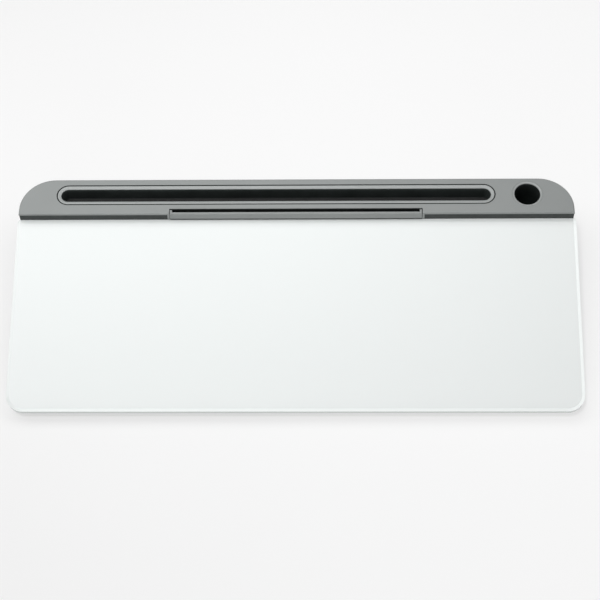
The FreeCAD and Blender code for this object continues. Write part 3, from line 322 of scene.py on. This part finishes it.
def soft_rubber(name, colour, dust=1.35):
    """Soft rubber: dull, with a fine pebble and a little dust in its tone."""
    finish = FinishNodes(name, 0.8, specular=0.3)
    tone = [(0.3, colour), (0.62, shade(colour, 1.1)), (0.8, shade(colour, dust))]
    finish.paint(finish.ramp(finish.noise(90.0, detail=5.0, roughness=0.65), tone))
    finish.gloss(finish.spread(finish.noise(240.0, detail=3.0), 0.70, 0.90))
    finish.bumps((finish.noise(160.0), 0.0001, 0.12), (finish.noise(2600.0, detail=1.0), 0.00005, 0.3))
    return finish.material


def coated_glass(colours):
    """Glass with a white coat behind it: white face, a bevel painted lighter as a painted highlight and
    glowing as painted light, and a grey-green ground edge.
    """
    finish = FinishNodes("coated_glass", 0.06, specular=0.5)
    finish.shader.inputs["IOR"].default_value = GLASS_INDEX
    slope = finish.tree.nodes.new("ShaderNodeVectorMath")
    slope.operation = "DOT_PRODUCT"
    slope.inputs[1].default_value = (-BEVEL_HIGHLIGHT_LEAN, *GLASS_UP[1:])
    finish.link(finish.place.outputs["Normal"], slope.inputs[0])
    facing = slope.outputs["Value"]
    face = tuple(colours.glass_face)
    edge = tuple(colours.glass_edge)
    # The bevel's colour is a painted highlight, lighter than the face.
    bevel = shade(face, BEVEL_PAINTED_HIGHLIGHT)
    tone = [
        (0.0, edge),
        (EDGE_END, shade(edge, EDGE_SHADE)),
        (BEVEL_START, bevel),
        (BEVEL_END, bevel),
        (FACE_START, face),
    ]
    finish.paint(finish.ramp(facing, tone))
    # The bevel glows with painted light, more on the right bevel than on the left.
    dark = (0.0, 0.0, 0.0)
    glow = tuple(colours.bevel_painted_glow)
    light = [(EDGE_END, dark), (BEVEL_START, glow), (BEVEL_END, glow), (FACE_START, dark)]
    finish.link(finish.ramp(facing, light), finish.shader.inputs["Emission Color"])
    finish.shader.inputs["Emission Strength"].default_value = 1.0
    finish.gloss(finish.spread(finish.noise(35.0, detail=5.0, roughness=0.6), 0.045, 0.085))
    finish.bumps((finish.noise(9.0, detail=1.0), 0.0002, 0.03))
    return finish.material


def white_coating(colour):
    """Rolled white coat on the back of the glass, with a faint orange-peel."""
    finish = FinishNodes("white_coating", 0.6, specular=0.3)
    finish.paint(finish.ramp(finish.noise(30.0, detail=3.0), [(0.3, shade(colour, 0.97)), (0.7, colour)]))
    finish.gloss(finish.spread(finish.noise(200.0), 0.5, 0.68))
    finish.bumps((finish.noise(420.0), 0.00008, 0.2))
    return finish.material


def foam_tape():
    """Open foam: pale, dull and full of small cells."""
    finish = FinishNodes("foam_tape", 0.95, specular=0.1)
    cells = finish.cells(1500.0, "DISTANCE_TO_EDGE")
    finish.paint(finish.ramp(cells, [(0.0, (0.74, 0.74, 0.70)), (0.25, (0.60, 0.60, 0.57))]))
    finish.gloss(finish.spread(finish.noise(500.0), 0.88, 1.0))
    finish.bumps((cells, 0.0003, 0.7))
    return finish.material


def pressed_felt():
    """Dense dark felt: short tangled fibres in two directions."""
    finish = FinishNodes("pressed_felt", 0.95, specular=0.1)
    finish.shader.inputs["Sheen Weight"].default_value = 0.35
    along = finish.noise(700.0, detail=4.0, roughness=0.7, vector=finish.mapped((1.0, 5.0, 5.0)))
    across = finish.noise(700.0, detail=4.0, roughness=0.7, vector=finish.mapped((5.0, 1.0, 5.0)))
    finish.paint(finish.ramp(along, [(0.3, (0.035, 0.035, 0.037)), (0.7, (0.085, 0.085, 0.088))]))
    finish.gloss(finish.spread(across, 0.85, 1.0))
    finish.bumps((along, 0.0002, 0.6), (across, 0.0002, 0.6))
    return finish.material


def slick_plastic():
    """Natural slippery plastic of the slide works: waxy, with faint tool marks along the slide."""
    finish = FinishNodes("slick_plastic", 0.4, specular=0.4)
    marks = finish.noise(260.0, detail=3.0, vector=finish.mapped((6.0, 0.4, 6.0)))
    finish.shader.inputs["Subsurface Weight"].default_value = 0.08
    finish.shader.inputs["Subsurface Radius"].default_value = (0.002, 0.002, 0.0018)
    finish.paint(finish.ramp(marks, [(0.3, (0.66, 0.65, 0.60)), (0.7, (0.73, 0.72, 0.68))]))
    finish.gloss(finish.spread(marks, 0.34, 0.5))
    finish.bumps((marks, 0.00006, 0.25))
    return finish.material


def zinc_steel():
    """Zinc-plated steel: cool, with a cloudy crystal tone and rubbed crests."""
    finish = FinishNodes("zinc_steel", 0.3)
    finish.shader.inputs["Metallic"].default_value = 1.0
    cloud = finish.noise(900.0, detail=4.0, roughness=0.6)
    tone = [(0.3, (0.47, 0.48, 0.50)), (0.6, (0.62, 0.63, 0.65)), (0.8, (0.72, 0.72, 0.72))]
    finish.paint(finish.ramp(cloud, tone))
    finish.gloss(finish.spread(finish.noise(1500.0, detail=3.0), 0.22, 0.42))
    finish.bumps((finish.noise(3200.0), 0.00003, 0.2))
    return finish.material


def studio_floor(colour, glow, lean):
    """Pale paper that gives some light of its own, more at the right, where the key light is weaker."""
    finish = FinishNodes("studio_floor", 0.9, specular=0.1)
    finish.shader.inputs["Emission Color"].default_value = (1.0, 1.0, 1.0, 1.0)
    across = finish.tree.nodes.new("ShaderNodeSeparateXYZ")
    finish.link(finish.place.outputs["Object"], across.inputs["Vector"])
    reach = FLOOR_LEAN_REACH
    strength = finish.spread(across.outputs["X"], glow - lean, glow + lean, start=-reach, stop=reach)
    finish.link(strength, finish.shader.inputs["Emission Strength"])
    finish.paint(finish.ramp(finish.noise(6.0), [(0.3, shade(colour, 0.99)), (0.7, colour)]))
    finish.bumps((finish.noise(700.0), 0.0001, 0.05))
    return finish.material


def dress(material, *nodes):
    """Gives CAD nodes a finish."""
    for name in nodes:
        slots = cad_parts[name].data.materials
        slots.clear()
        slots.append(material)


def add_piece(name, bm, material, slot, *nodes):
    """Turns a bmesh into a finished piece of the base that stands for CAD nodes."""
    bmesh.ops.remove_doubles(bm, verts=bm.verts, dist=WELD_REACH)
    bmesh.ops.recalc_face_normals(bm, faces=bm.faces)
    mesh = bpy.data.meshes.new(name)
    bm.to_mesh(mesh)
    bm.free()
    mesh.shade_smooth()
    mesh.set_sharp_from_angle(angle=SHARP_ANGLE)
    mesh.materials.append(material)
    piece = bpy.data.objects.new(name, mesh)
    bpy.context.scene.collection.objects.link(piece)
    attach(piece, BASE_BODY)
    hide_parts(*nodes)


def round_ended_disc(bm, low, high, segments):
    """A flat face with half-round ends along X that fills a box's plan, at the box's lowest level."""
    middle = [(a + b) / 2 for a, b in zip(low, high)]
    radius = (high[1] - low[1]) / 2
    stretch = (high[0] - low[0]) / 2 - radius
    verts = bmesh.ops.create_circle(bm, cap_ends=True, radius=radius, segments=segments)["verts"]
    bmesh.ops.rotate(bm, verts=verts, matrix=Matrix.Rotation(math.pi / segments, 3, "Z"))
    for side in (1, -1):
        half = [v for v in verts if v.co.x * side > 0]
        bmesh.ops.translate(bm, verts=half, vec=(side * stretch, 0.0, 0.0))
    bmesh.ops.translate(bm, verts=verts, vec=(middle[0], middle[1], low[2]))
    bm.faces.ensure_lookup_table()
    return bm.faces[0]


def ribbed_pad(low, high, rib, ribs, segments):
    """A soft pad that fills a box, with ribs that run round it, one inside the other."""
    bm = bmesh.new()
    face = round_ended_disc(bm, low, high, segments)
    grown = bmesh.ops.extrude_face_region(bm, geom=[face], use_keep_orig=True)["geom"]
    lifted = [item for item in grown if isinstance(item, bmesh.types.BMVert)]
    bmesh.ops.translate(bm, verts=lifted, vec=(0.0, 0.0, high[2] - low[2]))
    bmesh.ops.recalc_face_normals(bm, faces=bm.faces)
    top = [item for item in grown if isinstance(item, bmesh.types.BMFace)]
    pitch = (high[1] - low[1]) / (2 * ribs + 1)
    for _ in range(ribs):
        for share, rise in RIB_STEPS:
            step = pitch * share
            bmesh.ops.inset_region(bm, faces=top, thickness=step, depth=rib * rise, use_even_offset=True)
    return bm


def rubber_foot(low, high, rounding, dish):
    """A turned foot that fills a box: rounded lower rim and a shallow hollow underneath."""
    bm = bmesh.new()
    radius = (high[0] - low[0]) / 2
    axis = ((low[0] + high[0]) / 2, (low[1] + high[1]) / 2, 0.0)
    hollow = low[2] + dish
    profile = [(0.0, high[2]), (radius, high[2]), (radius, low[2])]
    profile += [(FOOT_RIM_SHARE * radius, low[2]), (FOOT_DISH_SHARE * radius, hollow), (0.0, hollow)]
    verts = [bm.verts.new((axis[0] + reach, axis[1], level)) for reach, level in profile]
    edges = [bm.edges.new(pair) for pair in zip(verts, verts[1:])]
    bmesh.ops.spin(
        bm,
        geom=verts + edges,
        cent=axis,
        axis=(0.0, 0.0, 1.0),
        angle=math.tau,
        steps=FOOT_STEPS,
        use_merge=True,
    )
    bmesh.ops.remove_doubles(bm, verts=bm.verts, dist=WELD_REACH)
    bmesh.ops.recalc_face_normals(bm, faces=bm.faces)
    rim = [e for e in bm.edges if on_foot_rim(e, axis, radius, low[2])]
    bmesh.ops.bevel(
        bm,
        geom=rim,
        offset=rounding,
        offset_type="OFFSET",
        segments=FOOT_ROUNDING_SEGMENTS,
        profile=0.5,
        affect="EDGES",
        material=-1,
    )
    return bm


def on_foot_rim(edge, axis, radius, level):
    """Whether an edge lies on the lower outer rim of a foot."""
    for vert in edge.verts:
        reach = math.hypot(vert.co.x - axis[0], vert.co.y - axis[1])
        if abs(vert.co.z - level) >= WELD_REACH or abs(reach - radius) >= FOOT_RIM_REACH:
            return False
    return True


def hang_light(name, power, width, depth, place):
    """A flat soft light of the studio, which the camera doesn't see."""
    light = bpy.data.lights.new(name, "AREA")
    light.shape = "RECTANGLE"
    light.energy = power
    light.size = width
    light.size_y = depth
    lamp = bpy.data.objects.new(name, light)
    lamp.matrix_world = place
    lamp.visible_camera = False
    bpy.context.scene.collection.objects.link(lamp)


class BOARD_OT_glass(bpy.types.Operator):
    """Finish the sloped writing glass and the white coat behind it"""

    bl_idname = "board.glass"
    bl_label = "Writing Glass"

    def execute(self, context):
        colours = context.scene.board_colours
        dress(coated_glass(colours), "glass_panel")
        dress(white_coating(tuple(colours.coating)), "glass_backing")
        return {"FINISHED"}


class BOARD_OT_rail(bpy.types.Operator):
    """Finish the grey rail along the rear and its sliding note lip"""

    bl_idname = "board.rail"
    bl_label = "Rail and Note Lip"

    def execute(self, context):
        colours = context.scene.board_colours
        grey = tuple(colours.rail)
        dress(moulded_grey("rail_grey", grey), "deck_cover")
        # The lip's grey is the rail's painted a little darker: painted shade.
        lip = moulded_grey("lip_grey_and_shade", shade(grey, LIP_PAINTED_SHADE), texture_scale=2100.0, roughness=(0.38, 0.50))
        dress(lip, "slot_lip")
        # The note strip is painted nearly black: painted shade of the gap behind the lip.
        dress(soft_rubber("note_strip_shade_rubber", shade(tuple(colours.lining), SEAM_PAINTED_SHADE)), "note_strip")
        return {"FINISHED"}


class BOARD_OT_phone_slot(bpy.types.Operator):
    """Finish the phone slot's trim and lining and lay its ribbed mat"""

    bl_idname = "board.phone_slot"
    bl_label = "Phone Slot"

    def execute(self, context):
        colours, sizes = context.scene.board_colours, context.scene.board_sizes
        dress(trim_grey("slot_trim_grey", tuple(colours.trim)), "slot_trim")
        lining = moulded_black("slot_lining_black", tuple(colours.lining))
        dress(lining, "slot_floor", "slot_wall_front", "slot_wall_rear", "slot_end_left", "slot_end_right")
        # The gasket is painted nearly black: painted shade of the seam round the trim.
        dress(soft_rubber("slot_gasket_shade_rubber", shade(tuple(colours.lining), SEAM_PAINTED_SHADE)), "slot_gasket")
        low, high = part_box("slot_mat")
        mat = ribbed_pad(low, high, sizes.mat_rib, sizes.mat_rib_count, MAT_SEGMENTS)
        rubber = soft_rubber("slot_mat_rubber", tuple(colours.rubber))
        add_piece("slot_mat_ribbed", mat, rubber, "mat_rubber", "slot_mat")
        return {"FINISHED"}


class BOARD_OT_pen_cup(bpy.types.Operator):
    """Finish the pen hole's ring and cup and lay its ringed pad"""

    bl_idname = "board.pen_cup"
    bl_label = "Pen Cup"

    def execute(self, context):
        colours, sizes = context.scene.board_colours, context.scene.board_sizes
        dress(trim_grey("pen_ring_grey", tuple(colours.trim)), "pen_ring")
        # The cup is painted darker than the slot's lining: painted shade of the deep hole.
        dress(moulded_black("pen_cup_black_and_shade", shade(tuple(colours.lining), CUP_PAINTED_SHADE)), "pen_cup")
        low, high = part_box("pen_cup_mat")
        pad = ribbed_pad(low, high, sizes.pad_ring, sizes.pad_ring_count, PAD_SEGMENTS)
        rubber = soft_rubber("pen_pad_rubber", tuple(colours.rubber))
        add_piece("pen_pad_ringed", pad, rubber, "mat_rubber", "pen_cup_mat")
        return {"FINISHED"}


class BOARD_OT_seals(bpy.types.Operator):
    """Finish the rubber strips behind the glass and the lip's wiper, coloured dark as painted shade, and the
    foam tape
    """

    bl_idname = "board.seals"
    bl_label = "Strips and Tape"

    def execute(self, context):
        # Painted shade: the rubber strips and the wiper are coloured dark to stand in for the shade under the
        # rail and the lip.
        seal_and_shade = soft_rubber("seal_shade_rubber", tuple(context.scene.board_colours.seal_and_shade), dust=1.2)
        dress(seal_and_shade, "glass_seal_left", "glass_seal_right", "lip_wiper")
        dress(foam_tape(), "foam_tape_front", "foam_tape_rear", "foam_tape_left", "foam_tape_right")
        return {"FINISHED"}


class BOARD_OT_base(bpy.types.Operator):
    """Finish the base under the glass and the cover that closes it"""

    bl_idname = "board.base"
    bl_label = "Base and Cover"

    def execute(self, context):
        grey = tuple(context.scene.board_colours.base)
        dress(moulded_grey("base_grey", grey, texture_scale=1500.0, roughness=(0.46, 0.60)), "base_shell")
        darker = shade(grey, COVER_SHADE)
        cover = moulded_grey("cover_grey", darker, texture_scale=1100.0, roughness=(0.50, 0.66))
        dress(cover, "bottom_cover")
        return {"FINISHED"}


class BOARD_OT_feet(bpy.types.Operator):
    """Turn the six rubber feet"""

    bl_idname = "board.feet"
    bl_label = "Feet"

    def execute(self, context):
        sizes = context.scene.board_sizes
        rubber = soft_rubber("foot_rubber", tuple(context.scene.board_colours.rubber), dust=1.8)
        for node in FOOT_NODES:
            foot = rubber_foot(*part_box(node), sizes.foot_rounding, sizes.foot_dish)
            add_piece(f"{node}_rubber", foot, rubber, "foot_rubber", node)
        return {"FINISHED"}


class BOARD_OT_slide_works(bpy.types.Operator):
    """Finish the guides, sliders and felt brakes under the note lip"""

    bl_idname = "board.slide_works"
    bl_label = "Lip Slide"

    def execute(self, context):
        dress(slick_plastic(), "lip_guide_left", "lip_guide_right", "lip_slider_left", "lip_slider_right")
        dress(pressed_felt(), "brake_pad_left", "brake_pad_right")
        return {"FINISHED"}


class BOARD_OT_screws(bpy.types.Operator):
    """Finish the screws that hold the cover, the rail and the slide"""

    bl_idname = "board.screws"
    bl_label = "Screws"

    def execute(self, context):
        dress(zinc_steel(), "cover_screws", "deck_screws", "guide_screws", "slider_screws")
        return {"FINISHED"}


class BOARD_OT_studio(bpy.types.Operator):
    """Set the pale floor, the soft light and the camera"""

    bl_idname = "board.studio"
    bl_label = "Studio"

    def execute(self, context):
        scene, studio = context.scene, context.scene.board_studio
        bm = bmesh.new()
        bmesh.ops.create_grid(bm, x_segments=FLOOR_PARTS, y_segments=FLOOR_PARTS, size=FLOOR_HALF)
        bmesh.ops.translate(bm, verts=bm.verts, vec=(0.0, 0.0, -FLOOR_DROP))
        mesh = bpy.data.meshes.new("studio_floor")
        bm.to_mesh(mesh)
        bm.free()
        mesh.materials.append(studio_floor(tuple(studio.floor), studio.floor_glow, studio.floor_lean))
        floor = bpy.data.objects.new("studio_floor", mesh)
        scene.collection.objects.link(floor)

        world = bpy.data.worlds.new("studio_fill")
        world.use_nodes = True
        background = world.node_tree.nodes["Background"]
        background.inputs["Color"].default_value = (1.0, 1.0, 1.0, 1.0)
        background.inputs["Strength"].default_value = studio.fill
        scene.world = world

        sky = bpy.data.lights.new("studio_top", "SUN")
        sky.energy = studio.top_strength
        sky.angle = studio.top_spread
        top = bpy.data.objects.new("studio_top", sky)
        top.matrix_world = (-Vector(studio.top_place)).to_track_quat("-Z", "Y").to_matrix().to_4x4()
        top.visible_glossy = False
        scene.collection.objects.link(top)

        over_rail = Matrix.Translation(studio.key_place)
        hang_light("studio_key", studio.key_power, studio.key_width, studio.key_depth, over_rail)
        front = Vector(studio.front_place)
        in_front = Matrix.Translation(front) @ (-front).to_track_quat("-Z", "Y").to_matrix().to_4x4()
        hang_light("studio_front", studio.front_power, studio.key_width, studio.key_depth, in_front)

        lens = bpy.data.cameras.new("studio_camera")
        lens.sensor_width = CAMERA_SENSOR
        lens.lens = CAMERA_LENS
        lens.clip_start = CAMERA_NEAR
        lens.clip_end = CAMERA_FAR
        camera = bpy.data.objects.new("studio_camera", lens)
        right, up = Vector(CAMERA_RIGHT), Vector(CAMERA_UP)
        turn = Matrix((right, up, right.cross(up))).transposed()
        camera.matrix_world = Matrix.Translation(CAMERA_PLACE) @ turn.to_4x4()
        scene.collection.objects.link(camera)
        scene.camera = camera
        scene.view_settings.view_transform = "Standard"
        return {"FINISHED"}


OPERATORS = (
    BOARD_OT_glass,
    BOARD_OT_rail,
    BOARD_OT_phone_slot,
    BOARD_OT_pen_cup,
    BOARD_OT_seals,
    BOARD_OT_base,
    BOARD_OT_feet,
    BOARD_OT_slide_works,
    BOARD_OT_screws,
    BOARD_OT_studio,
)


class BOARD_PT_panel(bpy.types.Panel):
    """Shows the board's colours, sizes and studio settings, and a button for each step."""

    bl_idname = "BOARD_PT_panel"
    bl_label = "Desk Board"
    bl_space_type = "VIEW_3D"
    bl_region_type = "UI"
    bl_category = "Desk Board"

    def draw(self, context):
        scene = context.scene
        for group in (scene.board_colours, scene.board_sizes, scene.board_studio):
            column = self.layout.column()
            for name in group.bl_rna.properties.keys():
                if name not in ("rna_type", "name"):
                    column.prop(group, name)
        for operator in OPERATORS:
            self.layout.operator(operator.bl_idname)


CLASSES = (BOARD_PG_colours, BOARD_PG_sizes, BOARD_PG_studio, *OPERATORS, BOARD_PT_panel)


def register():
    for item in CLASSES:
        bpy.utils.register_class(item)
    bpy.types.Scene.board_colours = PointerProperty(type=BOARD_PG_colours)
    bpy.types.Scene.board_sizes = PointerProperty(type=BOARD_PG_sizes)
    bpy.types.Scene.board_studio = PointerProperty(type=BOARD_PG_studio)


def unregister():
    del bpy.types.Scene.board_studio
    del bpy.types.Scene.board_sizes
    del bpy.types.Scene.board_colours
    for item in reversed(CLASSES):
        bpy.utils.unregister_class(item)


def main():
    """Builds the board's finishes, pieces and studio."""
    register()
    bpy.ops.board.glass()
    bpy.ops.board.rail()
    bpy.ops.board.phone_slot()
    bpy.ops.board.pen_cup()
    bpy.ops.board.seals()
    bpy.ops.board.base()
    bpy.ops.board.feet()
    bpy.ops.board.slide_works()
    bpy.ops.board.screws()
    bpy.ops.board.studio()


if __name__ == "__main__":
    main()
